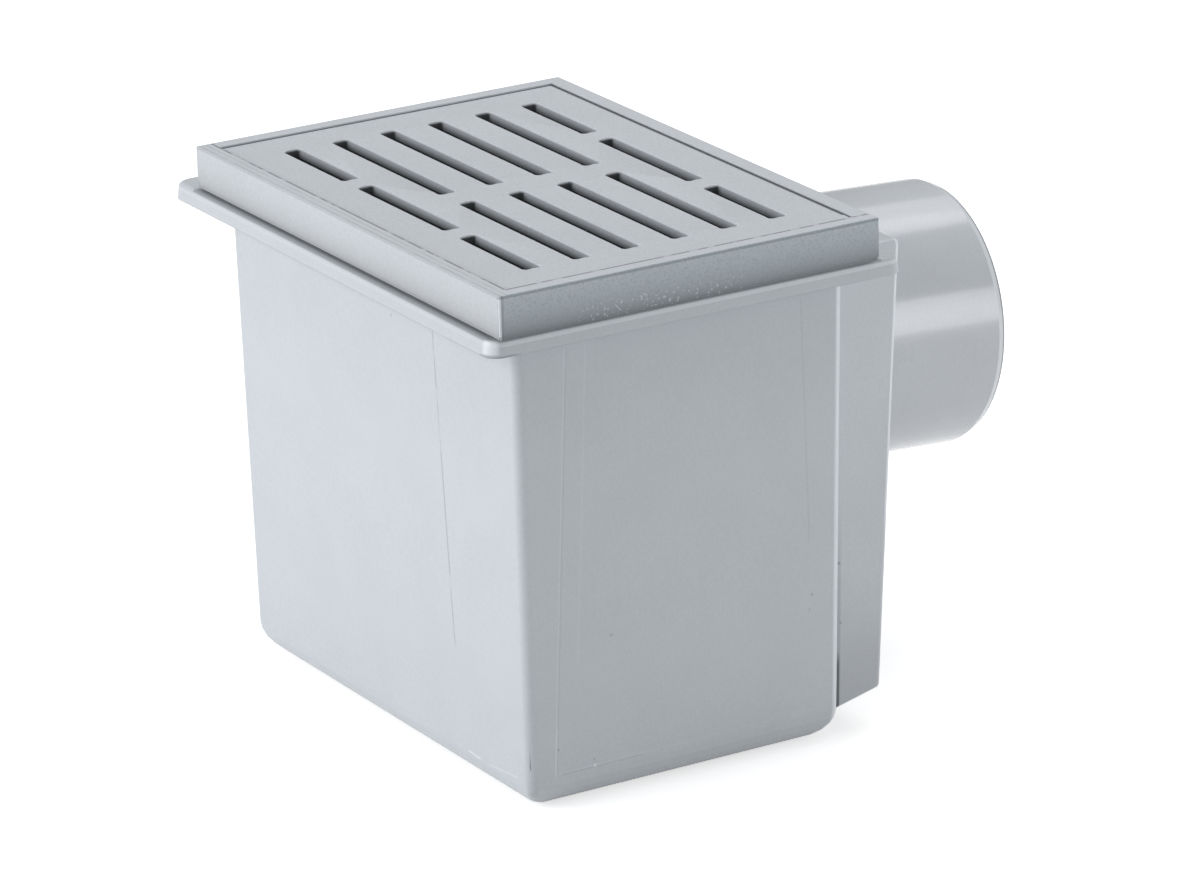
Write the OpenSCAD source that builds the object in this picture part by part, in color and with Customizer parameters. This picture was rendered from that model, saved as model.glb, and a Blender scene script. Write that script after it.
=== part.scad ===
// Floor drain: a trapped box with a rectangular grate on top and a pipe outlet at the back.
// Millimetres. +Z is up, +Y is the way the water leaves, and the box stands on Z = 0.

/* [Box] */
// Outside length of the box just under its flange
box_l = 226.6; // [200:0.2:300]
// Outside width of the box just under its flange
box_w = 148.8; // [135:0.2:200]
// Height of the flange's top above the floor of the drain
box_h = 202.2; // [194:0.2:260]
// Wall of the box
box_wall = 4; // [3:0.5:5]
// Inward lean of each wall, in mm for each mm of depth
draft = 0.015; // [0.005:0.005:0.02]
// Radius of the box's upright edges
box_corner_r = 4; // [3:0.5:8]
// Radius of the edges round the bottom of the box
box_bottom_r = 13; // [6:1:16]

/* [Flange] */
// Length of the flange at its lower face
flange_l = 255.2; // [245:0.2:330]
// Width of the flange at its lower face
flange_w = 185.6; // [178:0.2:230]
// Thickness of the flange
flange_t = 7; // [4:0.5:10]
// Radius of the flange's corners seen from above
flange_corner_r = 6; // [4:0.5:12]
// Radius of the flange's upper outer edge
flange_edge_r = 2; // [0.5:0.1:3]
// Inward lean of the flange's outer edge
flange_lean = 0.08; // [0.02:0.02:0.2]
// Width of the flange's two arms beside the head of the chamber
flange_arm = 3; // [2:0.5:5]

/* [Outlet] */
// Outside diameter of the outlet pipe
pipe_d = 110; // [90:1:125]
// Wall of the outlet pipe
pipe_wall = 3.2; // [2.5:0.1:5]
// Height of the pipe's axis where it leaves the chamber
pipe_z = 131.6; // [124:0.2:134]
// Length of the pipe outside the chamber
pipe_l = 90.4; // [40:0.2:200]
// Fall of the pipe for each mm of its run; the chamber's far face leans in as much, so they stay square
outlet_fall = 0.05; // [0.03:0.005:0.06]
// Length of the chamfer on the pipe's free end
pipe_chamfer = 3; // [1:0.5:6]

/* [Outlet chamber] */
// Length of the chamber at its top
chamber_l = 218.4; // [180:0.2:224]
// Distance from the drain's centre to the chamber's far face at its top
chamber_reach = 103.4; // [100:0.2:115]
// Height of the chamber's bottom edge at its far side
chamber_low = 15; // [12:0.5:18]
// Fall of the chamber's bottom towards the box
chamber_fall = 3; // [1:0.5:4]
// Wall of the chamber
chamber_wall = 3.5; // [2.5:0.5:4]
// Depth of the socket that holds the pipe, inside the chamber
socket_depth = 6; // [5:0.5:8]

/* [Trap] */
// Depth of water that closes the passage
seal_depth = 40; // [30:1:45]
// Width of the passage under the fixed wall
passage_l = 190; // [100:1:195]
// Diameter of the rodding hole
rodding_d = 70; // [40:1:80]
// Clearance of the plug in its hole
plug_gap = 0.8; // [0.5:0.1:1.2]

/* [Frame] */
// Length of the top frame
frame_l = 240; // [232:0.5:250]
// Width of the top frame
frame_w = 170; // [162:0.5:178]
// Height of the top frame above the flange
frame_h = 18.2; // [15:0.2:30]
// Place of the frame along the box, from the box's centre
frame_x = 10.2; // [0:0.1:10.5]
// Place of the frame across the box, from the box's centre
frame_y = -5.3; // [-5.5:0.1:0]
// Width of the frame's rim
rim_w = 7; // [6:0.5:10]
// Height of the dark line between the frame and the flange
shadow_gap = 1; // [0.5:0.1:2]
// Depth of the sleeve below the flange's top
sleeve_drop = 26; // [10:1:30]

/* [Grate] */
// Thickness of the grate
grate_t = 5; // [4:0.5:7]
// Clearance between the grate and the frame
grate_gap = 0.5; // [0.3:0.1:0.8]
// Depth of the grate's top below the frame's top
grate_sink = 0.7; // [0:0.1:1.5]
// Width of a slot
slot_w = 7.6; // [5:0.1:10]
// Distance from one row of slots to the next
slot_pitch = 22.1; // [18:0.1:22.4]
// Number of rows of slots
slot_rows = 6; // [3:1:6]
// Length of the slotted field
slot_field = 189.6; // [160:0.2:192]
// Width of the bridge in the middle of an inner row
bridge_w = 14; // [8:0.2:20]
// Width of the two bridges in an outer row
outer_bridge_w = 10.8; // [8:0.2:16]
// Length of the middle slot of an outer row
outer_slot_l = 68.8; // [50:0.2:80]
// Radius of a slot's corners
slot_r = 1.8; // [1:0.1:2.4]
// Radius of the rounded edge round the top of a slot
slot_edge_r = 0.6; // [0.4:0.1:1.4]

/* [Hidden] */
$fn = 64;
// Segments on the children of a hull
hull_fn = 32;
// Overrun that carries a cut past the face it opens
over = 1;
// Thickness of a level in a hull
leaf = 0.01;
// Clearance between pieces that are pushed together
fit_gap = 0.2;

box_floor = box_wall + 0.5;
flange_z = box_h - flange_t;
mouth_l = box_l - 2 * box_wall;
mouth_w = box_w - 2 * box_wall;
// How much smaller the radii inside the box are than those outside
radius_step = 2;
mouth_corner_r = box_corner_r - radius_step;
mouth_bottom_r = box_bottom_r - radius_step;

pipe_bore = pipe_d - 2 * pipe_wall;
// Thinner inner end of the pipe, which is glued into the socket
pipe_tail_d = pipe_d - 1.2;
passage_low = chamber_low + chamber_wall + 0.5;
// Height up to which the chamber's joint to the box stands open
joint_open_h = 38;
joint_open = 2;
joint_depth = 2;
chamber_edge_r = 2.5;
socket_wall = 3;
// Height of the socket's ring above the chamber's far face
socket_rise = 1.5;
// Depth of the socket's ring behind that face
socket_in = chamber_wall + socket_depth;
pipe_stop = 2;

plug_collar_lap = 4;
plug_collar_d = rodding_d + 2 * plug_collar_lap;
plug_collar_t = 6;
plug_head_t = 3;
plug_head_lap = 3.5;
plug_head_d = rodding_d + 2 * plug_head_lap;
plug_wall = 3;
plug_len = 11;
seal_cord = 2;
// Clearance of the seal in its groove and in the hole
seal_gap = 0.1;
grip_t = 5;
grip_h = 12;

frame_top = box_h + frame_h;
frame_edge = 0.5;
frame_corner_r = 0.6;
frame_lip_h = 1.4;
frame_lip_in = 0.4;
frame_foot_in = 5;
frame_foot = 3;
ledge_t = 3;
grate_top = frame_top - grate_sink;
ledge_z = grate_top - grate_t;
grate_l = frame_l - 2 * rim_w;
grate_w = frame_w - 2 * rim_w;
sleeve_wall = 2.5;
sleeve_play = 0.8;
sleeve_half_l = mouth_l / 2 - abs(frame_x) - sleeve_play;
sleeve_half_w = mouth_w / 2 - abs(frame_y) - sleeve_play;
sleeve_l = 2 * sleeve_half_l;
sleeve_w = 2 * sleeve_half_w;
sleeve_r = 5;
web_t = 2;
web_pitch = 40;

rib_t = 3;
rib_h = 8;
rib_gap = 1.5;
slot_fn = 16;
grate_edge = 0.4;
// Turn of a slot's rounded edge in degrees, carried on past the grate's top at 90
slot_turn = 120;
slot_rise = slot_edge_r * (1 - sin(slot_turn));

// Size that is left after a wall on each side has leaned in over a depth
function leaned(size, depth, lean) = size - 2 * lean * depth;

// Far face of the chamber at a height
function chamber_far(z) = chamber_reach - outlet_fall * (box_h - z);

// Outside face of the box's rear wall at a height
function rear_face(z) = leaned(box_w, flange_z - z, draft) / 2;

// Height of the pipe's axis at the inner end of its socket and at the box's rear wall
socket_z = pipe_z + outlet_fall * socket_in;
rodding_z = pipe_z + outlet_fall * (chamber_far(pipe_z) - rear_face(pipe_z));
passage_top = socket_z - pipe_bore / 2 - seal_depth;

// Flat rectangle with round corners, centred
module rounded(l, w, r) {
  square([l - 2 * r, w], center = true);
  square([l, w - 2 * r], center = true);
  for (sx = [-1, 1], sy = [-1, 1])
    translate([sx * (l / 2 - r), sy * (w / 2 - r)])
      circle(r);
}

// Upright block with round corners, standing on z
module block(l, w, r, z, h) {
  translate([0, 0, z])
    linear_extrude(h)
      rounded(l, w, r);
}

// Leaning-walled tub with a round bottom edge, from the floor up to top_z
module tub(l, w, corner_r, bottom_r, floor_z, top_z, at_z) {
  function inset(a) = bottom_r * (1 - sin(a));
  function level(a) = floor_z + bottom_r * (1 - cos(a));
  hull() {
    translate([0, 0, top_z - leaf])
      linear_extrude(leaf)
        rounded(leaned(l, at_z - top_z, draft), leaned(w, at_z - top_z, draft), corner_r, $fn = hull_fn);
    for (a = [0 : 15 : 90])
      translate([0, 0, level(a)])
        linear_extrude(leaf)
          rounded(
            leaned(l, at_z - level(a), draft) - 2 * inset(a),
            leaned(w, at_z - level(a), draft) - 2 * inset(a),
            corner_r,
            $fn = hull_fn);
  }
}

// Flange plate with leaning edges, rounded at the top
module flange_plate() {
  module level(inset, z) {
    block(flange_l - 2 * inset, flange_w - 2 * inset, flange_corner_r, z, leaf, $fn = hull_fn);
  }
  side_inset = flange_lean * (flange_t - flange_edge_r);
  hull() {
    level(0, flange_z);
    for (a = [0 : 30 : 90])
      level(side_inset + flange_edge_r * (1 - cos(a)), box_h - flange_edge_r * (1 - sin(a)) - leaf);
  }
}

// Ring inside the box round the rodding hole
module rodding_collar() {
  translate([0, rear_face(rodding_z) - box_wall / 2, rodding_z])
    rotate([90, 0, 0])
      cylinder(h = box_wall / 2 + plug_collar_t, d = plug_collar_d);
}

module rodding_hole() {
  translate([0, rear_face(rodding_z) + over, rodding_z])
    rotate([90, 0, 0])
      cylinder(h = box_wall + plug_collar_t + 2 * over, d = rodding_d);
}

// Low opening through the rear wall, under water in use
module passage() {
  margin = 2 * box_wall;
  translate([-passage_l / 2, mouth_w / 2 - margin, passage_low])
    cube([passage_l, box_wall + 2 * margin, passage_top - passage_low]);
}

// Open bay in the rear of the flange where the chamber's head stands, between two thin arms
module chamber_bay() {
  bay_l = flange_l - 2 * flange_arm;
  translate([-bay_l / 2, box_w / 2, flange_z - over])
    cube([bay_l, flange_w, flange_t + 2 * over]);
}

module body() {
  color("lightsteelblue")
    difference() {
      union() {
        tub(box_l, box_w, box_corner_r, box_bottom_r, 0, box_h - flange_edge_r, flange_z);
        difference() {
          flange_plate();
          chamber_bay();
        }
      }
      difference() {
        tub(mouth_l, mouth_w, mouth_corner_r, mouth_bottom_r, box_floor, box_h + over, flange_z);
        rodding_collar();
      }
      passage();
      rodding_hole();
    }
}

// Shell of the chamber before its open side is cut: eight round corners, with the far face leaning in
module chamber_block(inset) {
  r = chamber_edge_r - inset / 2;
  far_low = chamber_low + inset;
  near_y = mouth_w / 2 - box_wall;
  module corner(sx, y, z) {
    translate([sx * (leaned(chamber_l, box_h - z, draft) / 2 - inset - r), y, z])
      sphere(r, $fn = hull_fn);
  }
  hull()
    for (sx = [-1, 1]) {
      corner(sx, near_y, box_h - inset - r);
      corner(sx, near_y, far_low - chamber_fall * 2 + r);
      corner(sx, chamber_far(box_h) - inset - r, box_h - inset - r);
      corner(sx, chamber_far(far_low) - inset - r, far_low + r);
    }
}

// Everything in front of the box's rear wall, seen from the chamber
module box_side(gap) {
  translate([-chamber_l, 0, 0])
    rotate([90, 0, 90])
      linear_extrude(2 * chamber_l)
        polygon([
          [0, -over],
          [rear_face(-over) + gap, -over],
          [rear_face(box_h + over) + gap, box_h + over],
          [0, box_h + over],
        ]);
}

// Thin wedge that leaves the chamber's joint open outside, low on one side
module joint_wedge(side) {
  translate([side * (leaned(chamber_l, box_h, draft) / 2 + joint_depth), 0, 0])
    rotate([90, 0, 90])
      translate([0, 0, -2 * joint_depth])
        linear_extrude(4 * joint_depth)
          polygon([
            [rear_face(joint_open_h), joint_open_h],
            [rear_face(0) - over, 0],
            [rear_face(0) + joint_open, 0],
          ]);
}

// Puts a shape drawn along +Z on the pipe's axis, with Z = 0 at the chamber's far face
module outlet_place() {
  translate([0, chamber_far(pipe_z), pipe_z])
    rotate([-90 - atan(outlet_fall), 0, 0])
      children();
}

// Ring that holds the pipe, from inside the chamber to just outside its far face
module chamber_socket() {
  outlet_place()
    translate([0, 0, -socket_in])
      cylinder(h = socket_in + socket_rise, d = pipe_tail_d + 2 * socket_wall);
}

// Bore of that ring, with a stop for the end of the pipe
module socket_bore() {
  outlet_place() {
    translate([0, 0, pipe_stop - socket_in])
      cylinder(h = socket_in - pipe_stop + socket_rise + over, d = pipe_tail_d + 2 * fit_gap);
    translate([0, 0, -socket_in - over])
      cylinder(h = socket_in + over, d = pipe_bore);
  }
}

module outlet_chamber() {
  color("lightsteelblue")
    difference() {
      union() {
        difference() {
          chamber_block(0);
          chamber_block(chamber_wall);
        }
        chamber_socket();
      }
      box_side(fit_gap);
      joint_wedge(-1);
      joint_wedge(1);
      socket_bore();
    }
}

module outlet_pipe() {
  start = pipe_stop + fit_gap - socket_in;
  tail_end = socket_rise + fit_gap;
  color("gainsboro")
    outlet_place()
      rotate_extrude($fn = 96)
        polygon([
          [pipe_bore / 2, start],
          [pipe_tail_d / 2, start],
          [pipe_tail_d / 2, tail_end],
          [pipe_d / 2, tail_end],
          [pipe_d / 2, pipe_l - pipe_chamfer],
          [pipe_d / 2 - pipe_wall / 3, pipe_l],
          [pipe_bore / 2, pipe_l],
        ]);
}

module frame() {
  lip_l = frame_l - 2 * frame_lip_in;
  lip_w = frame_w - 2 * frame_lip_in;
  skirt_z = box_h + shadow_gap;
  foot_l = frame_l - 2 * frame_foot_in;
  foot_w = frame_w - 2 * frame_foot_in;
  color("silver")
    translate([frame_x, frame_y, 0])
      difference() {
        union() {
          bevelled_plate(
            frame_l,
            frame_w,
            frame_corner_r,
            skirt_z + frame_lip_h,
            frame_h - shadow_gap - frame_lip_h,
            frame_edge);
          block(lip_l, lip_w, frame_corner_r, skirt_z, frame_lip_h + over);
          block(foot_l, foot_w, frame_corner_r, box_h, frame_lip_h + over);
          block(sleeve_l, sleeve_w, sleeve_r, box_h - sleeve_drop, sleeve_drop + over);
        }
        block(grate_l, grate_w, 1, ledge_z, frame_top - ledge_z + over);
        block(
          sleeve_l - 2 * sleeve_wall,
          sleeve_w - 2 * sleeve_wall,
          sleeve_r - sleeve_wall,
          box_h - sleeve_drop - over,
          frame_h + sleeve_drop);
        frame_hollow(foot_l - 2 * frame_foot, foot_w - 2 * frame_foot);
      }
}

// Hollow under the frame, between its skirt and its sleeve, crossed by thin webs
module frame_hollow(l, w) {
  height = frame_h - grate_t - ledge_t;
  difference() {
    block(l, w, 1, box_h - over, height + over);
    block(sleeve_l, sleeve_w, sleeve_r, box_h - 2 * over, height + 3 * over);
    for (x = [-2 : 2])
      translate([x * web_pitch - web_t / 2, -w, box_h + web_t])
        cube([web_t, 2 * w, height]);
    for (y = [-1 : 1])
      translate([-l, y * web_pitch - web_t / 2, box_h + web_t])
        cube([2 * l, web_t, height]);
  }
}

// Middle of a row of slots, measured from the grate's middle
function row_y(i) = (i - (slot_rows - 1) / 2) * slot_pitch;

// Rounded edge of a slot as [offset outwards, height over the grate's top], run on past the top
function slot_edge() = [
  for (a = [0 : 30 : slot_turn])
    [slot_edge_r * (1 - cos(a)), slot_edge_r * (sin(a) - 1) * (a > 90 ? -1 : 1)]
];

// Cut for that edge: a wedge each way and a turned corner at each end of them
module slot_flare(length) {
  edge = slot_edge();
  module wedge(span, size) {
    right = [for (p = edge) [size / 2 + p.x, p.y]];
    left = [for (i = [len(edge) - 1 : -1 : 0]) [-size / 2 - edge[i].x, edge[i].y]];
    translate([-span / 2, 0, grate_top])
      rotate([90, 0, 90])
        linear_extrude(span)
          polygon(concat(right, left));
  }
  wedge(length - 2 * slot_r, slot_w);
  rotate([0, 0, 90])
    wedge(slot_w - 2 * slot_r, length);
  for (sx = [-1, 1], sy = [-1, 1])
    translate([sx * (length / 2 - slot_r), sy * (slot_w / 2 - slot_r), grate_top])
      rotate_extrude($fn = slot_fn)
        polygon(concat(
          [[0, -slot_edge_r]],
          [for (p = edge) [slot_r + p.x, p.y]],
          [[0, slot_rise]]));
}

module slot(length) {
  block(length, slot_w, slot_r, ledge_z - over, grate_t + over, $fn = slot_fn);
  slot_flare(length);
}

// Slots of a row as [middle along the row, length]: three in an outer row, two in the others
function row_slots(i) =
  let (
    short_l = (slot_field - outer_slot_l) / 2 - outer_bridge_w,
    half_l = (slot_field - bridge_w) / 2,
    outer = i == 0 || i == slot_rows - 1
  )
    outer
      ? [[(short_l - slot_field) / 2, short_l], [0, outer_slot_l], [(slot_field - short_l) / 2, short_l]]
      : [[-(half_l + bridge_w) / 2, half_l], [(half_l + bridge_w) / 2, half_l]];

module slots() {
  for (i = [0 : slot_rows - 1], k = row_slots(i))
    translate([k[0], row_y(i), 0])
      slot(k[1]);
}

// Ribs under the bars and under the bridges, clear of every slot
module grate_ribs() {
  rib_l = sleeve_l - 2 * sleeve_wall - 2 * rib_gap;
  z = ledge_z - rib_h;
  for (i = [0 : slot_rows - 2])
    translate([-rib_l / 2, (row_y(i) + row_y(i + 1)) / 2 - rib_t / 2, z])
      cube([rib_l, rib_t, rib_h + over]);
  for (i = [1 : slot_rows - 2])
    translate([-rib_t / 2, row_y(i) - slot_pitch / 2, z])
      cube([rib_t, slot_pitch, rib_h + over]);
  for (sx = [-1, 1], sy = [-1, 1])
    translate([
      sx * (outer_slot_l + outer_bridge_w) / 2 - rib_t / 2,
      sy * (slot_rows - 2) * slot_pitch / 2 - (sy < 0 ? slot_pitch / 2 : 0),
      z,
    ])
      cube([rib_t, slot_pitch / 2, rib_h + over]);
}

// Plate with a chamfer round its upper edge, made of flat faces
module bevelled_plate(l, w, r, z, h, bevel) {
  module side(size, span) {
    translate([-span, 0, z])
      rotate([90, 0, 90])
        linear_extrude(2 * span)
          polygon([
            [-size / 2, 0],
            [size / 2, 0],
            [size / 2, h - bevel],
            [size / 2 - bevel, h],
            [-size / 2 + bevel, h],
            [-size / 2, h - bevel],
          ]);
  }
  intersection() {
    block(l, w, r, z, h);
    side(w, l);
    rotate([0, 0, 90])
      side(l, w);
  }
}

module grate() {
  color("silver")
    translate([frame_x, frame_y, 0])
      difference() {
        union() {
          bevelled_plate(grate_l - 2 * grate_gap, grate_w - 2 * grate_gap, 1, ledge_z, grate_t, grate_edge);
          grate_ribs();
        }
        slots();
      }
}

// Plug drawn along +Z and turned so that it points towards the outlet
module plug_place() {
  translate([0, rear_face(rodding_z) - box_wall - plug_collar_t, rodding_z])
    rotate([-90, 0, 0])
      children();
}

module rodding_plug() {
  body_r = rodding_d / 2 - plug_gap;
  groove_z = plug_len / 2;
  color("dimgray")
    plug_place() {
      rotate_extrude($fn = 96)
        polygon([
          [0, -plug_head_t],
          [plug_head_d / 2, -plug_head_t],
          [plug_head_d / 2, 0],
          [body_r, 0],
          [body_r, groove_z - seal_cord / 2],
          [body_r - seal_cord / 2, groove_z - seal_cord / 2],
          [body_r - seal_cord / 2, groove_z + seal_cord / 2],
          [body_r, groove_z + seal_cord / 2],
          [body_r, plug_len],
          [body_r - plug_wall, plug_len],
          [body_r - plug_wall, 0],
          [0, 0],
        ]);
      translate([-rodding_d / 3, -grip_t / 2, -plug_head_t - grip_h])
        cube([rodding_d * 2 / 3, grip_t, grip_h + 1]);
    }
}

module plug_seal() {
  inner = rodding_d / 2 - plug_gap - seal_cord / 2 + seal_gap / 2;
  color("black")
    plug_place()
      translate([0, 0, plug_len / 2])
        rotate_extrude($fn = 96)
          translate([inner, -seal_cord / 2 + seal_gap])
            square([rodding_d / 2 - seal_gap - inner, seal_cord - 2 * seal_gap]);
}

body();
outlet_chamber();
outlet_pipe();
frame();
grate();
rodding_plug();
plug_seal();
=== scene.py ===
"""Dresses the floor drain: studio, camera and the plastics, marked as in the photo, with painted highlights
and painted shade.

Lengths and places are in metres. A share is a number from 0 to 1 that says where a mark shows.
"""

import math

import bpy
from mathutils import Matrix, Vector


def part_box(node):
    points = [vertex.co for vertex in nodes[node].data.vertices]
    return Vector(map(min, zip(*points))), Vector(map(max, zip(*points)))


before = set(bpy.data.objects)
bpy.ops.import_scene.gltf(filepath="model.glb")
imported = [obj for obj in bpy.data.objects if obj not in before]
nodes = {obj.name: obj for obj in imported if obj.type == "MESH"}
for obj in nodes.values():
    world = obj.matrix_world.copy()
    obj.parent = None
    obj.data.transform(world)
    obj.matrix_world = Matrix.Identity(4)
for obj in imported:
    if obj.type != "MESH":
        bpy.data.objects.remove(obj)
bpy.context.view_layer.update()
body_low, body_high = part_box("body")
frame_low, frame_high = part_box("frame")
grate_low, grate_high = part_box("grate")

# Colours are linear
BODY_GREY = (0.555, 0.592, 0.632)
CHAMBER_GREY = (0.595, 0.632, 0.672)
FRAME_GREY = (0.551, 0.582, 0.62)
GRATE_GREY = (0.55, 0.582, 0.62)
PIPE_GREY = (0.56, 0.592, 0.63)
PLUG_GREY = (0.045, 0.047, 0.05)
SEAL_BLACK = (0.012, 0.012, 0.013)
# Painted shade in hollows, gaps, undersides and the depths of the slots
PAINTED_SHADE_DARK = (0.03, 0.032, 0.035)
# Dark specks, sand and lines, and also painted shade and painted shadow lines
SHADE_AND_MARK_DARK = (0.2, 0.215, 0.235)
# Light lines, a bright speck and grit, and also painted highlights on edges and corners
HIGHLIGHT_AND_MARK_LIGHT = (0.83, 0.87, 0.92)
# Cool tint for the frame's shaded right side: painted shade
COOL_SHADE_GREY = (0.33, 0.58, 0.7)

# Waves for each metre in the plastics' noise
MOTTLE_WAVES = 38.0
SPECKLE_WAVES = 900.0
SAND_WAVES = 1000.0
GRIT_WAVES = 800.0
FINE_GRAIN_WAVES = 1100.0
COARSE_GRAIN_WAVES = 220.0

# Roughness of the surfaces and height of their grain
GLOSSY = 0.2
SATIN = 0.42
MATT = 0.5
RUBBERY = 0.7
COAT_ROUGHNESS = 0.1
SMOOTH_GRAIN = 0.00001
SEAL_GRAIN = 0.00002
MOULDED_GRAIN = 0.00003
TEXTURED_GRAIN = 0.00005
EDGE_GAIN = 5.0
BEVEL_SAMPLES = 4

# Colour sockets of the Mix node
MIX_FIRST = 6
MIX_SECOND = 7
MIX_RESULT = 2

# Where the pipe leaves the chamber (y and z), its fall and its length outside
PIPE_ROOT = (0.09987, 0.1316)
PIPE_FALL = 0.05
PIPE_COSINE = 1.0 / math.hypot(1.0, PIPE_FALL)
PIPE_LENGTH = 0.0904

# Limits that the paint keeps to, from the boxes of the pieces; the grate's plate lies GRATE_SINK
# below the frame's top
GRATE_SINK = 0.0007
FLANGE_FRONT = body_low.y
FLANGE_RIGHT = body_high.x
FLANGE_TOP = body_high.z
FRAME_FRONT = frame_low.y
FRAME_RIGHT = frame_high.x
FRAME_TOP = frame_high.z
FRAME_MIDDLE = ((frame_low.x + frame_high.x) / 2.0, (frame_low.y + frame_high.y) / 2.0)
FRAME_HALF = ((frame_high.x - frame_low.x) / 2.0, (frame_high.y - frame_low.y) / 2.0)
GRATE_FRONT = grate_low.y
GRATE_REAR = grate_high.y
GRATE_RIGHT = grate_high.x
GRATE_TOP = FRAME_TOP - GRATE_SINK
GRATE_HALF = ((grate_high.x - grate_low.x) / 2.0, (grate_high.y - grate_low.y) / 2.0)

# Limits inside those boxes: the mouth and rear of the box, the top of its rounded lower edges,
# and where the outer skin of box and chamber begins
MOUTH_HALF = (0.1095, 0.0706)
LOWER_EDGES_TOP = 0.018
BOX_REAR = 0.0744
BOX_DRAFT = 0.015
CHAMBER_RIGHT = 0.1060
SKIN_FRONT = -0.0708
SKIN_RIGHT = 0.1097
SKIN_DEPTH = 0.0003

# Soft border of a mask, soft end of a line, and the share of a mark's width that is solid
SOFT = 0.0002
LINE_END_SOFT = 0.002
CORE_SHARE = 0.3

# Front face of the box, places as x and z: a broken line, a speck, and
# painted highlights along the rounded lower edge with start, end, width and strength
LINE_START = (0.0502, 0.1817)
LINE_END = (0.0565, 0.0550)
LINE_WIDTH = 0.0006
FRONT_SPECK = (0.018, 0.1801)
FRONT_SPECK_RADIUS = 0.0008
FRONT_LOW_HIGHLIGHTS = (
    ((0.0640, 0.0119), (0.0715, 0.0115), 0.0005, 0.75),
    ((0.0800, 0.0114), (0.1010, 0.0133), 0.0004, 0.35),
    ((0.0300, 0.0125), (0.0600, 0.0120), 0.0003, 0.12),
)

# Right face of the box, places as y and z: lines with start, end, width and strength,
# and specks with place, radius and strength
# The lines near z 0.015, along the top of the rounded lower edge, are painted highlight
RIGHT_LIGHT_LINES = (
    ((-0.0525, 0.1874), (-0.0600, 0.0154), 0.0005, 0.16),
    ((-0.0590, 0.0330), (-0.0598, 0.0150), 0.0004, 0.35),
    ((-0.0433, 0.1874), (-0.0490, 0.0594), 0.0005, 0.10),
    ((-0.0580, 0.0148), (-0.0216, 0.0151), 0.0004, 0.14),
    ((-0.0216, 0.0151), (0.0600, 0.0155), 0.0004, 0.08),
)
# The line near z 0.0143, along the top of the rounded lower edge, is painted shade
RIGHT_DARK_LINES = (
    ((-0.0518, 0.1874), (-0.0593, 0.0154), 0.0005, 0.14),
    ((0.0542, 0.1874), (0.0575, 0.0874), 0.0005, 0.12),
    ((-0.0560, 0.0142), (-0.0216, 0.0144), 0.0005, 0.16),
)
RIGHT_SPECKS = (
    ((-0.0338, 0.0674), 0.0008, 0.35),
    ((0.0587, 0.0641), 0.0008, 0.35),
    ((0.0575, 0.0581), 0.0006, 0.3),
    ((0.0725, 0.0736), 0.0008, 0.35),
    ((-0.0585, 0.0250), 0.0006, 0.5),
    ((-0.0425, 0.0175), 0.0005, 0.4),
)
RIGHT_BRIGHT_SPECK = (-0.0421, 0.0149)
RIGHT_BRIGHT_RADIUS = 0.0009

# Specks on the chamber's right side: place as y and z, radius and strength
CHAMBER_SPECKS = (
    ((0.0741, 0.0727), 0.0009, 0.6),
    ((0.0747, 0.0473), 0.0009, 0.4),
)

# Fine lines along the frame's front rim: distance from its outer face and strength
RIM_LINES = ((0.0039, 0.33), (0.0012, 0.4))
RIM_LINE_HALF = 0.0001

# Camera worked out from the photo
CAMERA_PLACE = (2.17847, -1.2697, 0.99071)
CAMERA_RIGHT = (0.518148, 0.854944, -0.024345)
CAMERA_DOWN = (0.270912, -0.191054, -0.943454)
CAMERA_AHEAD = (-0.811252, 0.482253, -0.330609)
CAMERA_LENS = 203.34
CAMERA_SENSOR = 36.0
CAMERA_CLIP = (0.1, 50.0)

# Studio
FLOOR_HALF = 6.0
FLOOR_DROP = 0.0004
FLOOR_COLOUR = (0.8, 0.8, 0.8, 1.0)
FLOOR_GLOW = 0.6
WHITE = (1.0, 1.0, 1.0, 1.0)
AMBIENT_STRENGTH = 0.37
BACKGROUND_STRENGTH = 1.0

# Lamps aimed at the middle of the drain: name, place, size and watts
DRAIN_MIDDLE = (0.0, 0.0, 0.12)
LAMPS = (
    ("key_left", (-0.6, -2.4, 1.1), (1.6, 1.6), 46.0),
    ("top_soft", (-0.4, 0.5, 1.9), (1.5, 1.5), 12.5),
    ("rear_edge", (1.2, 2.2, 0.7), (0.8, 1.2), 5.5),
)

# Strip lamps along the pipe, set out from the middle of its outer length: name, turn, distance, size
# and watts. Each stands STRIP_BACK farther back for each metre away, so that the camera sees it in the pipe
PIPE_MIDDLE = (0.0, 0.15, 0.13)
STRIP_BACK = 0.606
STRIPS = (
    ("strip_high", -20.0, 1.9, (0.6, 1.45), 4.4),
    ("strip_right", 75.3, 1.75, (0.5, 0.9), 6.4),
    ("strip_low", 87.0, 1.75, (0.5, 1.1), 1.5),
)


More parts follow.
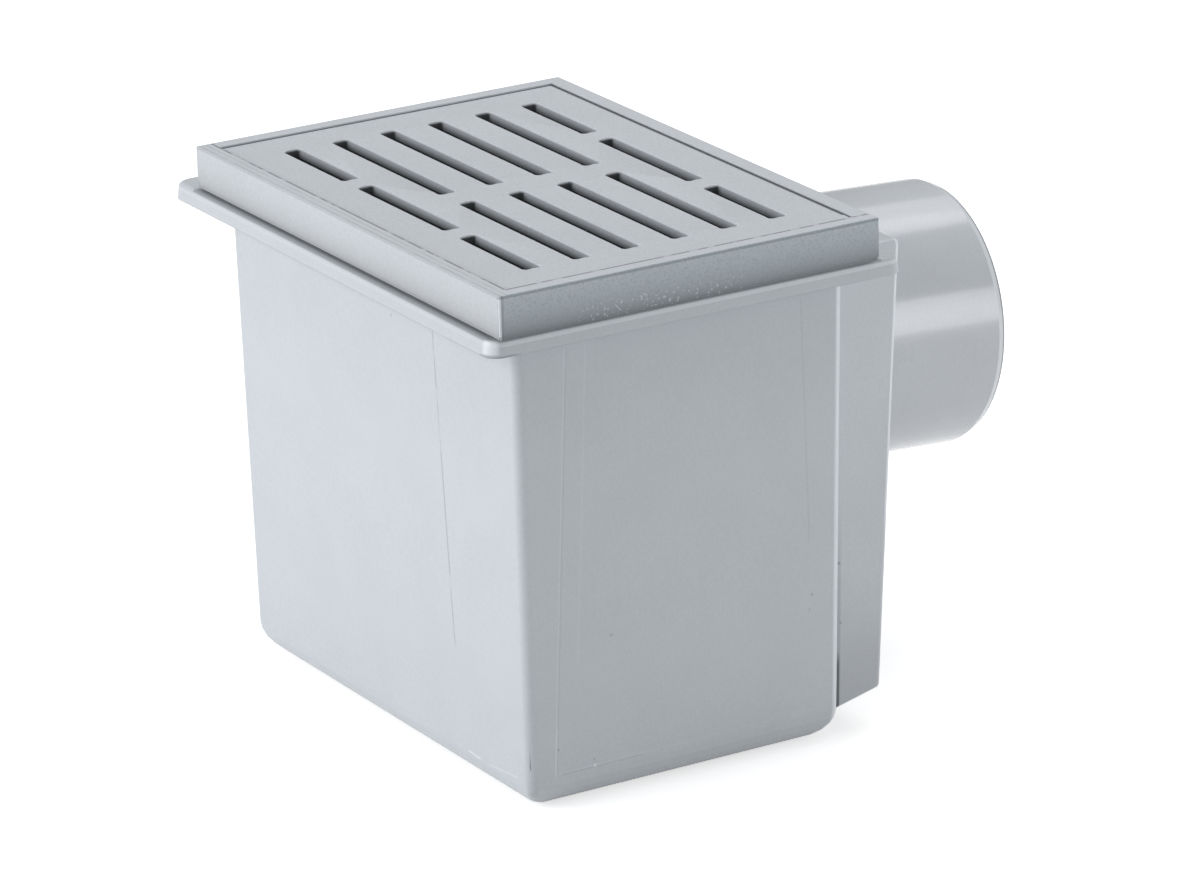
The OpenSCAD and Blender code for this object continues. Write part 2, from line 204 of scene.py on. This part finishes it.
class Shader:
    """A plastic's material, whose nodes are made by short calls."""

    def __init__(self, name, roughness, coat, edge_radius):
        self.material = bpy.data.materials.new(name)
        self.material.use_nodes = True
        self.tree = self.material.node_tree
        self.tree.nodes.clear()
        output = self.node("OutputMaterial")
        self.surface = self.node("BsdfPrincipled")
        self.put(roughness, self.surface.inputs["Roughness"])
        self.put(coat, self.surface.inputs["Coat Weight"])
        self.put(COAT_ROUGHNESS, self.surface.inputs["Coat Roughness"])
        self.put(self.surface.outputs["BSDF"], output.inputs["Surface"])
        self.place = self.node("TexCoord").outputs["Object"]
        self.x, self.y, self.z = self.split(self.place)
        self.edges = self.soft_edges(edge_radius)

    def node(self, kind):
        return self.tree.nodes.new("ShaderNode" + kind)

    def put(self, value, socket):
        """Links a socket, or sets a plain value."""
        if isinstance(value, bpy.types.NodeSocket):
            self.tree.links.new(value, socket)
        else:
            socket.default_value = value

    def split(self, vector):
        node = self.node("SeparateXYZ")
        self.put(vector, node.inputs[0])
        return tuple(node.outputs)

    def maths(self, operation, *values, clamp=False):
        node = self.node("Math")
        node.operation = operation
        node.use_clamp = clamp
        for value, socket in zip(values, node.inputs):
            self.put(value, socket)
        return node.outputs[0]

    def times(self, *values):
        product = values[0]
        for value in values[1:]:
            product = self.maths("MULTIPLY", product, value)
        return product

    def between(self, share, low, high):
        """Number that goes from low to high with share."""
        return self.maths("ADD", low, self.times(share, high - low))

    def noise(self, waves, detail, shift=(0.0, 0.0, 0.0)):
        """Noise from 0 to 1."""
        mapping = self.node("Mapping")
        mapping.inputs["Location"].default_value = shift
        self.put(self.place, mapping.inputs["Vector"])
        node = self.node("TexNoise")
        node.inputs["Scale"].default_value = waves
        node.inputs["Detail"].default_value = detail
        self.put(mapping.outputs[0], node.inputs["Vector"])
        return node.outputs["Fac"]

    def sand(self):
        """1 on scattered grains of sand."""
        return self.remap(self.noise(SAND_WAVES, detail=1.0), 0.5, 0.68)

    def remap(self, value, low, high, out_low=0.0, out_high=1.0):
        """Smooth step from out_low at low to out_high at high; low may be above high."""
        node = self.node("MapRange")
        node.interpolation_type = "SMOOTHSTEP"
        self.put(value, node.inputs["Value"])
        node.inputs["From Min"].default_value = low
        node.inputs["From Max"].default_value = high
        node.inputs["To Min"].default_value = out_low
        node.inputs["To Max"].default_value = out_high
        return node.outputs[0]

    def band(self, value, low, high, soft):
        """1 where value lies between low and high."""
        rise = self.remap(value, low - soft, low)
        fall = self.remap(value, high + soft, high)
        return self.times(rise, fall)

    def within(self, middle, half, soft=SOFT):
        """1 over the rectangle round middle, seen from above."""
        from_middle_x = self.maths("ABSOLUTE", self.maths("SUBTRACT", self.x, middle[0]))
        from_middle_y = self.maths("ABSOLUTE", self.maths("SUBTRACT", self.y, middle[1]))
        share_x = self.remap(from_middle_x, half[0] + soft, half[0])
        share_y = self.remap(from_middle_y, half[1] + soft, half[1])
        return self.times(share_x, share_y)

    def outside(self, middle, half, soft=SOFT):
        return self.maths("SUBTRACT", 1.0, self.within(middle, half, soft))

    def stroke(self, first, second, start, end, width):
        """1 along a straight line; first and second are the two coordinates of the face it lies on."""
        run = (end[0] - start[0], end[1] - start[1])
        length = math.hypot(*run)
        run = (run[0] / length, run[1] / length)
        from_first = self.maths("SUBTRACT", first, start[0])
        from_second = self.maths("SUBTRACT", second, start[1])
        along = self.maths("ADD", self.times(from_first, run[0]), self.times(from_second, run[1]))
        across = self.maths("SUBTRACT", self.times(from_first, run[1]), self.times(from_second, run[0]))
        near = self.remap(self.maths("ABSOLUTE", across), width, CORE_SHARE * width)
        return self.times(near, self.band(along, 0.0, length, LINE_END_SOFT))

    def dot(self, first, second, place, radius):
        """1 in a round spot."""
        first_square = self.maths("POWER", self.maths("SUBTRACT", first, place[0]), 2.0)
        second_square = self.maths("POWER", self.maths("SUBTRACT", second, place[1]), 2.0)
        squares = self.maths("ADD", first_square, second_square)
        return self.remap(squares, radius ** 2, CORE_SHARE * radius ** 2)

    def undrafted_y(self):
        """y with the lean of the box's rear wall taken out, so that the wall has one value."""
        below_flange = self.maths("SUBTRACT", FLANGE_TOP, self.z)
        return self.maths("ADD", self.y, self.times(below_flange, BOX_DRAFT))

    def facing_right(self):
        """1 where a face looks toward +x."""
        toward_x, _, _ = self.split(self.node("NewGeometry").outputs["True Normal"])
        return self.remap(toward_x, 0.4, 0.8)

    def leaning_back(self):
        """1 where the softened edge leans toward +y."""
        _, toward_y, _ = self.split(self.edges)
        return self.remap(toward_y, 0.1, 0.35)

    def mix(self, share, first, second):
        """Colour that goes from first to second with share."""
        node = self.node("Mix")
        node.data_type = "RGBA"
        self.put(share, node.inputs["Factor"])
        for value, index in ((first, MIX_FIRST), (second, MIX_SECOND)):
            if isinstance(value, tuple):
                value = (*value, 1.0)
            self.put(value, node.inputs[index])
        return node.outputs[MIX_RESULT]

    def paint(self, tone, share, colour, strength):
        """Tone with colour laid over it."""
        return self.mix(self.times(share, strength), tone, colour)

    def darken(self, tone, share, amount):
        """Tone made darker by amount."""
        node = self.node("VectorMath")
        node.operation = "SCALE"
        self.put(tone, node.inputs[0])
        self.put(self.maths("SUBTRACT", 1.0, self.times(share, amount)), node.inputs["Scale"])
        return node.outputs[0]

    def bump(self, height, distance):
        """Softened edges with a relief on them."""
        node = self.node("Bump")
        node.inputs["Strength"].default_value = 1.0
        node.inputs["Distance"].default_value = distance
        self.put(height, node.inputs["Height"])
        self.put(self.edges, node.inputs["Normal"])
        return node.outputs[0]

    def soft_edges(self, radius):
        node = self.node("Bevel")
        node.samples = BEVEL_SAMPLES
        node.inputs["Radius"].default_value = radius
        return node.outputs[0]

    def edge_share(self):
        """How near a point is to an edge, from the way the softened normal leans there."""
        lean = self.node("VectorMath")
        lean.operation = "DOT_PRODUCT"
        self.put(self.edges, lean.inputs[0])
        self.put(self.node("NewGeometry").outputs["Normal"], lean.inputs[1])
        apart = self.maths("SUBTRACT", 1.0, lean.outputs["Value"])
        return self.maths("MULTIPLY", apart, EDGE_GAIN, clamp=True)


def scaled(colour, factor):
    return tuple(factor * part for part in colour)


def plastic(name, colour, roughness, grain_height, edge_radius, marks_and_shading=None, coat=0.0, edge_highlight=0.0):
    """Moulded plastic: slight mottling, a fine grain and softened edges, a painted highlight on the edges
    where asked, and marks and painted light and shade over it.
    """
    shader = Shader(name, roughness, coat, edge_radius)
    mottle = shader.remap(shader.noise(MOTTLE_WAVES, detail=3.0), 0.3, 0.7)
    tone = shader.mix(mottle, scaled(colour, 0.985), scaled(colour, 1.01))
    speckle = shader.remap(shader.noise(SPECKLE_WAVES, detail=1.0), 0.35, 0.65)
    tone = shader.paint(tone, speckle, scaled(colour, 0.7), strength=0.12)
    if edge_highlight:
        # Painted highlight along the softened edges
        tone = shader.paint(tone, shader.edge_share(), HIGHLIGHT_AND_MARK_LIGHT, strength=edge_highlight)
    if marks_and_shading:
        # Marks, painted highlights and painted shade of the piece
        tone = marks_and_shading(shader, tone)
    shader.put(tone, shader.surface.inputs["Base Color"])
    fine = shader.noise(FINE_GRAIN_WAVES, detail=2.0)
    coarse = shader.noise(COARSE_GRAIN_WAVES, detail=2.0)
    grain = shader.maths("ADD", fine, shader.times(coarse, 0.5))
    shader.put(shader.bump(grain, grain_height), shader.surface.inputs["Normal"])
    return shader.material


def shade_body(shader, tone):
    """Painted shade inside the mouth, toward the top, on the flange beside the frame and at the foot; a
    painted highlight along the flange's upper edge, stronger on the right.
    """
    inside = shader.within((0.0, 0.0), MOUTH_HALF)
    above_edges = shader.remap(shader.z, LOWER_EDGES_TOP, LOWER_EDGES_TOP + 0.002)
    # Painted shade inside the box's mouth
    tone = shader.paint(tone, shader.times(inside, above_edges), PAINTED_SHADE_DARK, strength=0.9)
    upper = shader.remap(shader.z, 0.12, 0.185)
    # Painted shade toward the top of the body
    tone = shader.darken(tone, upper, amount=0.055)
    shaded_half = (FRAME_HALF[0] + 0.0008, FRAME_HALF[1] + 0.0028)
    beside_frame = shader.within(FRAME_MIDDLE, shaded_half, soft=0.0008)
    on_flange = shader.remap(shader.z, FLANGE_TOP - 0.0012, FLANGE_TOP - 0.0006)
    # Painted shadow on the flange beside the frame
    tone = shader.darken(tone, shader.times(beside_frame, on_flange), amount=0.36)
    on_right = shader.remap(shader.x, FLANGE_RIGHT - 0.0051, FLANGE_RIGHT - 0.0041)
    flange_edge = shader.band(shader.z, FLANGE_TOP - 0.0026, FLANGE_TOP - 0.0015, soft=0.0004)
    # Painted highlight along the flange's rounded upper edge, stronger on the right
    tone = shader.paint(tone, flange_edge, HIGHLIGHT_AND_MARK_LIGHT, strength=shader.between(on_right, 0.12, 0.37))
    foot = shader.remap(shader.z, 0.0045, 0.0015)
    # Painted shade at the foot of the box
    return shader.darken(tone, foot, amount=0.35)


def paint_body_highlights_and_shadow(shader, tone):
    """Painted highlights on the rear edge beside the chamber and on the front corner of the flange, and a
    painted shadow line under that corner.
    """
    rear = shader.remap(shader.undrafted_y(), BOX_REAR - 0.0044, BOX_REAR - 0.0024)
    right = shader.remap(shader.x, SKIN_RIGHT - 0.0012, SKIN_RIGHT - 0.0002)
    below_flange = shader.remap(shader.z, FLANGE_TOP - 0.0066, FLANGE_TOP - 0.0074)
    # Painted highlight on the box's rounded rear edge
    tone = shader.paint(tone, shader.times(rear, right, below_flange), HIGHLIGHT_AND_MARK_LIGHT, strength=0.75)
    corner_right = shader.remap(shader.x, FLANGE_RIGHT - 0.0076, FLANGE_RIGHT - 0.0051)
    corner_front = shader.remap(shader.y, FLANGE_FRONT + 0.0048, FLANGE_FRONT + 0.0028)
    flange = shader.band(shader.z, FLANGE_TOP - 0.0054, FLANGE_TOP - 0.0008, soft=0.0005)
    # Painted highlight on the flange's front corner
    tone = shader.paint(tone, shader.times(corner_right, corner_front, flange), HIGHLIGHT_AND_MARK_LIGHT, strength=0.6)
    under_shadow_right = shader.remap(shader.x, FLANGE_RIGHT - 0.0096, FLANGE_RIGHT - 0.0076)
    under_shadow_front = shader.remap(shader.y, FLANGE_FRONT + 0.0148, FLANGE_FRONT + 0.0078)
    under_shadow = shader.band(shader.z, FLANGE_TOP - 0.0070, FLANGE_TOP - 0.0064, soft=0.0003)
    # Painted shadow line under the flange's front corner
    return shader.paint(tone, shader.times(under_shadow_right, under_shadow_front, under_shadow), SHADE_AND_MARK_DARK, strength=0.5)


def mark_front_face_and_low_highlights(shader, tone):
    """The broken moulding line, one speck and the painted highlights along the rounded lower edge of the
    box's front.
    """
    face = shader.remap(shader.y, SKIN_FRONT + SKIN_DEPTH, SKIN_FRONT)
    breaks = shader.remap(shader.noise(130.0, detail=1.0), 0.3, 0.55, 0.25, 1.0)
    line = shader.stroke(shader.x, shader.z, LINE_START, LINE_END, LINE_WIDTH)
    tone = shader.paint(tone, shader.times(line, breaks, face), SHADE_AND_MARK_DARK, strength=0.5)
    speck = shader.dot(shader.x, shader.z, FRONT_SPECK, FRONT_SPECK_RADIUS)
    tone = shader.paint(tone, shader.times(speck, face), SHADE_AND_MARK_DARK, strength=0.4)
    for start, end, width, strength in FRONT_LOW_HIGHLIGHTS:
        low_highlight = shader.stroke(shader.x, shader.z, start, end, width)
        # Painted highlight along the rounded lower edge
        tone = shader.paint(tone, shader.times(low_highlight, face), HIGHLIGHT_AND_MARK_LIGHT, strength)
    return tone


def mark_right_face_and_low_shading(shader, tone):
    """The fine moulding lines and the specks of the box's right side, with painted highlight and shade
    lines along the top of its rounded lower edge.
    """
    face = shader.remap(shader.x, SKIN_RIGHT - SKIN_DEPTH, SKIN_RIGHT)
    for lines, colour in ((RIGHT_LIGHT_LINES, HIGHLIGHT_AND_MARK_LIGHT), (RIGHT_DARK_LINES, SHADE_AND_MARK_DARK)):
        for start, end, width, strength in lines:
            line = shader.stroke(shader.y, shader.z, start, end, width)
            # Lines near z 0.015 here are painted highlight and painted shade
            tone = shader.paint(tone, shader.times(line, face), colour, strength)
    for place, radius, strength in RIGHT_SPECKS:
        speck = shader.dot(shader.y, shader.z, place, radius)
        tone = shader.paint(tone, shader.times(speck, face), SHADE_AND_MARK_DARK, strength)
    bright = shader.dot(shader.y, shader.z, RIGHT_BRIGHT_SPECK, RIGHT_BRIGHT_RADIUS)
    return shader.paint(tone, shader.times(bright, face), HIGHLIGHT_AND_MARK_LIGHT, strength=0.6)


def mark_and_shade_body(shader, tone):
    tone = shade_body(shader, tone)
    tone = paint_body_highlights_and_shadow(shader, tone)
    tone = mark_front_face_and_low_highlights(shader, tone)
    return mark_right_face_and_low_shading(shader, tone)


def shade_chamber(shader, tone):
    """Painted shade low down and in the joint beside the box, a painted shadow beside the joint, and two
    specks.
    """
    low = shader.remap(shader.z, 0.17, 0.03)
    # Painted shade low down
    tone = shader.darken(tone, low, amount=0.06)
    foot = shader.remap(shader.z, 0.070, 0.016)
    tone = shader.darken(tone, foot, amount=0.17)
    from_wall = shader.maths("SUBTRACT", shader.undrafted_y(), BOX_REAR)
    joint = shader.remap(from_wall, 0.0025, 0.0021)
    joint_low = shader.remap(shader.z, 0.037, 0.029)
    # Painted shade in the open joint beside the box
    tone = shader.paint(tone, shader.times(joint, joint_low), PAINTED_SHADE_DARK, strength=0.9)
    joint_shadow = shader.remap(from_wall, 0.0032, 0.0020)
    joint_shadow_low = shader.remap(shader.z, 0.105, 0.05)
    # Painted shadow beside the joint
    tone = shader.paint(tone, shader.times(joint_shadow, joint_shadow_low), SHADE_AND_MARK_DARK, strength=0.35)
    for place, radius, strength in CHAMBER_SPECKS:
        tone = shader.paint(tone, shader.dot(shader.y, shader.z, place, radius), SHADE_AND_MARK_DARK, strength)
    return tone


def mark_and_shade_chamber(shader, tone):
    """Painted shade, a painted highlight beside the leaning far face and a painted shade line at its edge.
    """
    tone = shade_chamber(shader, tone)
    lean = shader.times(shader.maths("SUBTRACT", shader.z, PIPE_ROOT[1]), PIPE_FALL)
    from_face = shader.maths("SUBTRACT", shader.y, shader.maths("ADD", lean, PIPE_ROOT[0]))
    side = shader.remap(shader.x, CHAMBER_RIGHT - 0.0010, CHAMBER_RIGHT)
    edge = shader.band(from_face, -0.0018, -0.0008, soft=0.0005)
    edge_height = shader.remap(shader.z, 0.080, 0.092, 0.15, 1.0)
    # Painted highlight beside the far face's edge
    tone = shader.paint(tone, shader.times(edge, side, edge_height), HIGHLIGHT_AND_MARK_LIGHT, strength=0.8)
    end = shader.remap(from_face, -0.0006, -0.0002)
    # Painted shade line at the far face's edge
    return shader.paint(tone, shader.times(end, side), SHADE_AND_MARK_DARK, strength=0.5)


def paint_pipe_end_light(shader, tone):
    """Painted highlight on the sawn chamfer, with a thin painted shade line at its outer edge."""
    out = shader.times(shader.maths("SUBTRACT", shader.y, PIPE_ROOT[0]), PIPE_COSINE)
    down = shader.times(shader.maths("SUBTRACT", shader.z, PIPE_ROOT[1]), -PIPE_COSINE * PIPE_FALL)
    along = shader.maths("ADD", out, down)
    chamfer_highlight = shader.band(along, PIPE_LENGTH - 0.0031, PIPE_LENGTH - 0.0012, soft=0.0003)
    tone = shader.paint(tone, chamfer_highlight, HIGHLIGHT_AND_MARK_LIGHT, strength=0.45)
    end = shader.remap(along, PIPE_LENGTH - 0.0010, PIPE_LENGTH - 0.0005)
    # Painted shade line at the outer edge of the pipe's end
    return shader.paint(tone, end, SHADE_AND_MARK_DARK, strength=0.8)


def shade_frame_sides(shader, tone, sides, right):
    """Sides with painted shade growing toward the joint under them, sandy, with light grit low on the right
    side, which has a cool painted shade tint.
    """
    height = shader.maths("MAXIMUM", shader.maths("SUBTRACT", shader.z, FLANGE_TOP), 0.0)
    reach = shader.between(right, 0.006, 0.0085)
    fade = shader.maths("EXPONENT", shader.times(shader.maths("DIVIDE", height, reach), -1.0))
    joint_shade = shader.times(fade, shader.between(right, 0.52, 0.76), sides)
    foot = shader.times(shader.remap(height, 0.0016, 0.0004), right, 0.75)
    # Cool tint on the shaded right side: painted shade
    tone = shader.paint(tone, right, COOL_SHADE_GREY, strength=0.15)
    # Painted shade toward the joint, and at the foot of the right side
    tone = shader.darken(tone, shader.maths("MAXIMUM", joint_shade, foot), amount=1.0)
    sand = shader.times(shader.sand(), sides)
    tone = shader.paint(tone, sand, SHADE_AND_MARK_DARK, strength=shader.between(right, 0.1, 0.25))
    grit = shader.remap(shader.noise(GRIT_WAVES, detail=0.0, shift=(0.3, 0.1, 0.2)), 0.66, 0.74)
    grit_length = shader.band(shader.y, -0.052, 0.014, soft=0.006)
    grit_height = shader.band(height, 0.0023, 0.0073, soft=0.002)
    grit = shader.times(grit, grit_length, grit_height, right)
    return shader.paint(tone, grit, HIGHLIGHT_AND_MARK_LIGHT, strength=0.35)


def paint_frame_corner_highlight(shader, tone, right):
    """Front corner: a painted highlight line with a painted shade line beside it."""
    corner_front = shader.remap(shader.y, FRAME_FRONT + 0.0011, FRAME_FRONT + 0.0007)
    corner_right = shader.remap(shader.x, FRAME_RIGHT - 0.0008, FRAME_RIGHT - 0.0004)
    tone = shader.paint(tone, shader.times(corner_front, corner_right), HIGHLIGHT_AND_MARK_LIGHT, strength=0.75)
    beside = shader.band(shader.y, FRAME_FRONT + 0.0011, FRAME_FRONT + 0.0019, soft=SOFT)
    return shader.paint(tone, shader.times(beside, right), SHADE_AND_MARK_DARK, strength=0.45)


def darken_frame_inside(shader, tone):
    """Painted shade in the hollow below the grate and in the joint round it."""
    below = shader.remap(shader.z, GRATE_TOP - 0.0044, GRATE_TOP - 0.0048)
    hollow = shader.times(shader.within(FRAME_MIDDLE, GRATE_HALF), below)
    tone = shader.paint(tone, hollow, PAINTED_SHADE_DARK, strength=0.92)
    joint_half = (GRATE_HALF[0] + 0.0007, GRATE_HALF[1] + 0.0007)
    sunk = shader.remap(shader.z, FRAME_TOP - 0.0004, FRAME_TOP - 0.0008)
    joint = shader.times(shader.within(FRAME_MIDDLE, joint_half), sunk)
    return shader.paint(tone, joint, PAINTED_SHADE_DARK, strength=0.7)


def mark_rim(shader, tone):
    """Broken dark line along the inner edge of the two nearer rims, and fine lines on the front rim."""
    on_top = shader.remap(shader.z, FRAME_TOP - 0.0006, FRAME_TOP - 0.0003)
    inner_x = GRATE_RIGHT + 0.0005
    inner_y = GRATE_FRONT - 0.0005
    right_line = shader.band(shader.x, inner_x, inner_x + 0.0009, soft=0.0003)
    right_line = shader.times(right_line, shader.remap(shader.y, inner_y - 0.0003, inner_y))
    front_line = shader.band(shader.y, inner_y - 0.0007, inner_y, soft=0.0003)
    front_line = shader.times(front_line, shader.remap(shader.x, inner_x + 0.0003, inner_x))
    breaks = shader.remap(shader.noise(210.0, detail=0.0), 0.36, 0.46, 0.3, 1.0)
    line = shader.times(shader.maths("MAXIMUM", right_line, front_line), breaks, on_top)
    tone = shader.paint(tone, line, SHADE_AND_MARK_DARK, strength=0.9)
    faint = shader.remap(shader.noise(90.0, detail=0.0), 0.3, 0.55, 0.45, 1.0)
    for inward, strength in RIM_LINES:
        place = FRAME_FRONT + inward
        fine = shader.band(shader.y, place - RIM_LINE_HALF, place + RIM_LINE_HALF, soft=0.0004)
        tone = shader.paint(tone, shader.times(fine, faint, on_top), SHADE_AND_MARK_DARK, strength)
    return tone


def mark_and_shade_frame(shader, tone):
    sides_half = (FRAME_HALF[0] - 0.0012, FRAME_HALF[1] - 0.0012)
    sides = shader.outside(FRAME_MIDDLE, sides_half)
    right = shader.remap(shader.x, FRAME_RIGHT - 0.0015, FRAME_RIGHT - 0.0010)
    tone = shade_frame_sides(shader, tone, sides, right)
    tone = paint_frame_corner_highlight(shader, tone, right)
    # Painted shade along the groove below the rim's top edge, stronger on the right side
    lip = shader.band(shader.z, FRAME_TOP - 0.0010, FRAME_TOP - 0.0002, soft=SOFT)
    tone = shader.darken(tone, shader.times(lip, sides), amount=shader.between(right, 0.12, 0.32))
    tone = darken_frame_inside(shader, tone)
    return mark_rim(shader, tone)


def shade_slots(shader, tone):
    """Slots with painted highlights on their nearer edges, and walls with painted shade that grows with
    depth and is darkest at their left ends.
    """
    field_half = (GRATE_HALF[0] - 0.002, GRATE_HALF[1] - 0.002)
    field = shader.within(FRAME_MIDDLE, field_half)
    tone = shader.paint(tone, shader.times(shader.leaning_back(), field), HIGHLIGHT_AND_MARK_LIGHT, strength=0.5)
    wall = shader.remap(shader.z, GRATE_TOP - 0.0002, GRATE_TOP - 0.0008)
    tone = shader.darken(tone, wall, amount=0.27)
    deep = shader.remap(shader.z, GRATE_TOP - 0.0012, GRATE_TOP - 0.0046)
    tone = shader.paint(tone, deep, PAINTED_SHADE_DARK, strength=0.62)
    end_depth = shader.remap(shader.z, GRATE_TOP - 0.0005, GRATE_TOP - 0.0012)
    ends = shader.times(shader.facing_right(), end_depth, field)
    return shader.paint(tone, ends, PAINTED_SHADE_DARK, strength=0.85)


def mark_and_shade_grate(shader, tone):
    """Slots, sand, and painted shade on the underside, in the joint round the plate and along its rear
    edge.
    """
    tone = shade_slots(shader, tone)
    tone = shader.paint(tone, shader.sand(), SHADE_AND_MARK_DARK, strength=0.13)
    bottom = shader.remap(shader.z, GRATE_TOP - 0.0038, GRATE_TOP - 0.0043)
    tone = shader.paint(tone, bottom, PAINTED_SHADE_DARK, strength=0.9)
    plate_half = (GRATE_HALF[0] - 0.0003, GRATE_HALF[1] - 0.0003)
    sunk = shader.remap(shader.z, GRATE_TOP - 0.0004, GRATE_TOP - 0.0008)
    joint = shader.times(shader.outside(FRAME_MIDDLE, plate_half, soft=0.0001), sunk)
    tone = shader.paint(tone, joint, PAINTED_SHADE_DARK, strength=0.8)
    rear = shader.remap(shader.y, GRATE_REAR - 0.0014, GRATE_REAR - 0.0009)
    short_of_corner = shader.remap(shader.x, GRATE_RIGHT - 0.0050, GRATE_RIGHT - 0.0060)
    return shader.paint(tone, shader.times(rear, short_of_corner), PAINTED_SHADE_DARK, strength=0.8)


def assign(node_name, material):
    mesh = nodes[node_name].data
    mesh.materials.clear()
    mesh.materials.append(material)


def dress_nodes():
    """Gives each node its colour, roughness, grain and softened edges (by their radius), and its marks with
    painted highlights and painted shade.
    """
    body = plastic("body_plastic_look", BODY_GREY, SATIN, MOULDED_GRAIN, 0.0006, mark_and_shade_body)
    chamber = plastic("chamber_plastic_look", CHAMBER_GREY, SATIN, MOULDED_GRAIN, 0.0005, mark_and_shade_chamber)
    pipe = plastic("pipe_plastic_look", PIPE_GREY, GLOSSY, SMOOTH_GRAIN, 0.0006, paint_pipe_end_light, coat=0.3)
    top_frame = plastic(
        "frame_plastic_look", FRAME_GREY, MATT, TEXTURED_GRAIN, 0.0005, mark_and_shade_frame, edge_highlight=0.5
    )
    grate = plastic("grate_plastic_look", GRATE_GREY, MATT, TEXTURED_GRAIN, 0.0004, mark_and_shade_grate)
    plug = plastic("plug_plastic_look", PLUG_GREY, 0.45, MOULDED_GRAIN, 0.0005)
    seal = plastic("seal_rubber_look", SEAL_BLACK, RUBBERY, SEAL_GRAIN, 0.0002)
    assign("body", body)
    assign("outlet_chamber", chamber)
    assign("outlet_pipe", pipe)
    assign("frame", top_frame)
    assign("grate", grate)
    assign("rodding_plug", plug)
    assign("plug_seal", seal)


def make_camera():
    data = bpy.data.cameras.new("camera")
    data.sensor_width = CAMERA_SENSOR
    data.lens = CAMERA_LENS
    data.clip_start, data.clip_end = CAMERA_CLIP
    camera = bpy.data.objects.new("camera", data)
    bpy.context.scene.collection.objects.link(camera)
    right = Vector(CAMERA_RIGHT)
    up = -Vector(CAMERA_DOWN)
    back = -Vector(CAMERA_AHEAD)
    turn = Matrix((right, up, back)).transposed().to_4x4()
    camera.matrix_world = Matrix.Translation(CAMERA_PLACE) @ turn
    bpy.context.scene.camera = camera


def ray_share(tree, *kinds):
    """1 where a ray is of one of the kinds, else 0."""
    path = tree.nodes.new("ShaderNodeLightPath")
    share = path.outputs[kinds[0]]
    for kind in kinds[1:]:
        either = tree.nodes.new("ShaderNodeMath")
        either.operation = "MAXIMUM"
        tree.links.new(share, either.inputs[0])
        tree.links.new(path.outputs[kind], either.inputs[1])
        share = either.outputs[0]
    return share


def floor_material():
    """Pale floor that shows white to the camera away from the drain's shadow."""
    material = bpy.data.materials.new("floor_look")
    material.use_nodes = True
    tree = material.node_tree
    tree.nodes.clear()
    output = tree.nodes.new("ShaderNodeOutputMaterial")
    add = tree.nodes.new("ShaderNodeAddShader")
    matt = tree.nodes.new("ShaderNodeBsdfDiffuse")
    matt.inputs["Color"].default_value = FLOOR_COLOUR
    glow = tree.nodes.new("ShaderNodeEmission")
    strength = tree.nodes.new("ShaderNodeMath")
    strength.operation = "MULTIPLY"
    strength.inputs[1].default_value = FLOOR_GLOW
    share = ray_share(tree, "Is Camera Ray", "Is Glossy Ray", "Is Transmission Ray")
    tree.links.new(share, strength.inputs[0])
    tree.links.new(strength.outputs[0], glow.inputs["Strength"])
    tree.links.new(matt.outputs[0], add.inputs[0])
    tree.links.new(glow.outputs[0], add.inputs[1])
    tree.links.new(add.outputs[0], output.inputs["Surface"])
    return material


def make_floor():
    mesh = bpy.data.meshes.new("floor")
    half = FLOOR_HALF
    corners = [(-half, -half, 0), (half, -half, 0), (half, half, 0), (-half, half, 0)]
    mesh.from_pydata(corners, [], [(0, 1, 2, 3)])
    mesh.materials.append(floor_material())
    floor = bpy.data.objects.new("floor", mesh)
    floor.location.z = -FLOOR_DROP
    bpy.context.scene.collection.objects.link(floor)


def background(tree, strength):
    node = tree.nodes.new("ShaderNodeBackground")
    node.inputs["Color"].default_value = WHITE
    node.inputs["Strength"].default_value = strength
    return node.outputs[0]


def make_world():
    """Soft light from all round, with a white backdrop for the camera."""
    world = bpy.data.worlds.new("studio")
    bpy.context.scene.world = world
    world.use_nodes = True
    tree = world.node_tree
    tree.nodes.clear()
    output = tree.nodes.new("ShaderNodeOutputWorld")
    choose = tree.nodes.new("ShaderNodeMixShader")
    share = ray_share(tree, "Is Camera Ray", "Is Transmission Ray")
    tree.links.new(share, choose.inputs[0])
    tree.links.new(background(tree, AMBIENT_STRENGTH), choose.inputs[1])
    tree.links.new(background(tree, BACKGROUND_STRENGTH), choose.inputs[2])
    tree.links.new(choose.outputs[0], output.inputs["Surface"])


def add_lamp(name, place, target, size, watts):
    data = bpy.data.lights.new(name, "AREA")
    data.shape = "RECTANGLE"
    data.size, data.size_y = size
    data.energy = watts
    lamp = bpy.data.objects.new(name, data)
    lamp.location = place
    aim = Vector(target) - Vector(place)
    lamp.rotation_mode = "QUATERNION"
    lamp.rotation_quaternion = aim.to_track_quat("-Z", "Y")
    bpy.context.scene.collection.objects.link(lamp)


def add_strip(name, turn, away, size, watts):
    """Lamp along the pipe; turn is its angle in degrees from straight up toward the right."""
    radians = math.radians(turn)
    x, y, z = PIPE_MIDDLE
    y += STRIP_BACK * away
    place = (x + away * math.sin(radians), y, z + away * math.cos(radians))
    add_lamp(name, place, (x, y, z), size, watts)


def make_lamps():
    for name, place, size, watts in LAMPS:
        add_lamp(name, place, DRAIN_MIDDLE, size, watts)
    for name, turn, away, size, watts in STRIPS:
        add_strip(name, turn, away, size, watts)


def main():
    make_camera()
    make_world()
    make_floor()
    make_lamps()
    dress_nodes()
    bpy.context.scene.view_settings.view_transform = "Standard"


main()
